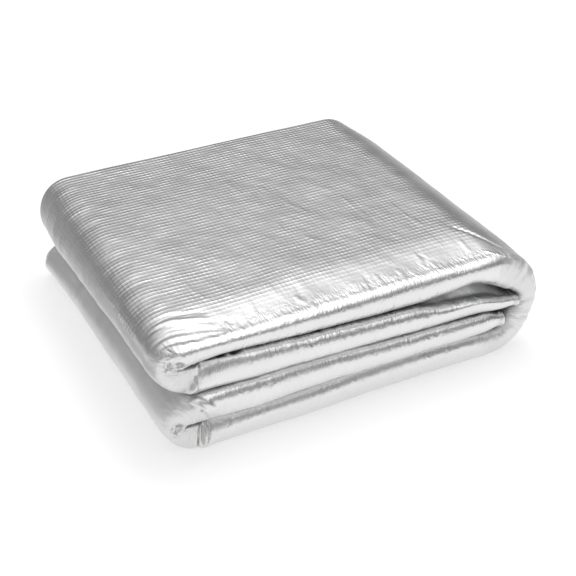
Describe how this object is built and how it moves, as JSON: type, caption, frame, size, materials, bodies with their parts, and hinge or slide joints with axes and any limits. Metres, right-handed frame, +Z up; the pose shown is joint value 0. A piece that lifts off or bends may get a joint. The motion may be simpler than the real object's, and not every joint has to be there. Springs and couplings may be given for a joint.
{
  "type": "folding solar blanket",
  "caption": "Padded, foil-faced blanket that reflects sun and heat, folded into a flat four-layer stack that opens like a book along one thick rounded end.",
  "frame": {"origin": "under the middle of the folded blanket, on the surface that it lies on", "axes": "+X along the long side towards the thick rounded spine, +Y from the seamless front bend to the hemmed back edge, +Z up"},
  "size_m": [0.4, 0.34, 0.1194],
  "materials": {
    "foil_facing": "bright foil laminate with a fine square scrim, lightly crinkled",
    "foil_lining": "satin foil laminate",
    "batting": "soft white wadding",
    "hem_tape": "grey woven binding tape",
    "thread": "light grey sewing thread"
  },
  "bodies": {
    "lower_half": {"bottom_panel_facing": "foil_facing", "bottom_panel_batting": "batting", "bottom_panel_lining": "foil_lining", "bottom_panel_hem_tape": "hem_tape", "bottom_panel_hem_thread": "thread", "lower_fold_facing": "foil_facing", "lower_fold_batting": "batting", "lower_fold_lining": "foil_lining", "lower_fold_hem_tape": "hem_tape", "lower_fold_hem_thread": "thread", "lower_flap_facing": "foil_facing", "lower_flap_batting": "batting", "lower_flap_lining": "foil_lining", "lower_flap_hem_tape": "hem_tape", "lower_flap_hem_thread": "thread", "lower_flap_end_tape": "hem_tape", "lower_flap_end_thread": "thread"},
    "spine_lower": {"spine_lower_facing": "foil_facing", "spine_lower_batting": "batting", "spine_lower_lining": "foil_lining", "spine_lower_hem_tape": "hem_tape", "spine_lower_hem_thread": "thread"},
    "spine_middle": {"spine_middle_facing": "foil_facing", "spine_middle_batting": "batting", "spine_middle_lining": "foil_lining", "spine_middle_hem_tape": "hem_tape", "spine_middle_hem_thread": "thread"},
    "spine_upper": {"spine_upper_facing": "foil_facing", "spine_upper_batting": "batting", "spine_upper_lining": "foil_lining", "spine_upper_hem_tape": "hem_tape", "spine_upper_hem_thread": "thread"},
    "upper_half": {"top_panel_facing": "foil_facing", "top_panel_batting": "batting", "top_panel_lining": "foil_lining", "top_panel_hem_tape": "hem_tape", "top_panel_hem_thread": "thread", "upper_fold_facing": "foil_facing", "upper_fold_batting": "batting", "upper_fold_lining": "foil_lining", "upper_fold_hem_tape": "hem_tape", "upper_fold_hem_thread": "thread", "upper_flap_facing": "foil_facing", "upper_flap_batting": "batting", "upper_flap_lining": "foil_lining", "upper_flap_hem_tape": "hem_tape", "upper_flap_hem_thread": "thread", "upper_flap_end_tape": "hem_tape", "upper_flap_end_thread": "thread"}
  },
  "joints": [
    {"name": "book_opening", "type": "hinge", "parent": "lower_half", "child": "spine_lower", "pos_m": [0.16315, 0, 0.00454], "axis": [0, 1, 0], "range_deg": [0, 45]},
    {"name": "spine_fold_second", "type": "hinge", "parent": "spine_lower", "child": "spine_middle", "pos_m": [0.19546, 0, 0.03685], "axis": [0, 1, 0], "range_deg": [0, 45]},
    {"name": "spine_fold_third", "type": "hinge", "parent": "spine_middle", "child": "spine_upper", "pos_m": [0.19546, 0, 0.08255], "axis": [0, 1, 0], "range_deg": [0, 45]},
    {"name": "spine_fold_fourth", "type": "hinge", "parent": "spine_upper", "child": "upper_half", "pos_m": [0.16315, 0, 0.11486], "axis": [0, 1, 0], "range_deg": [0, 45]}
  ],
  "couplings": [
    {"joint": "spine_fold_second", "follows": "book_opening", "ratio": 1},
    {"joint": "spine_fold_third", "follows": "book_opening", "ratio": 1},
    {"joint": "spine_fold_fourth", "follows": "book_opening", "ratio": 1}
  ]
}
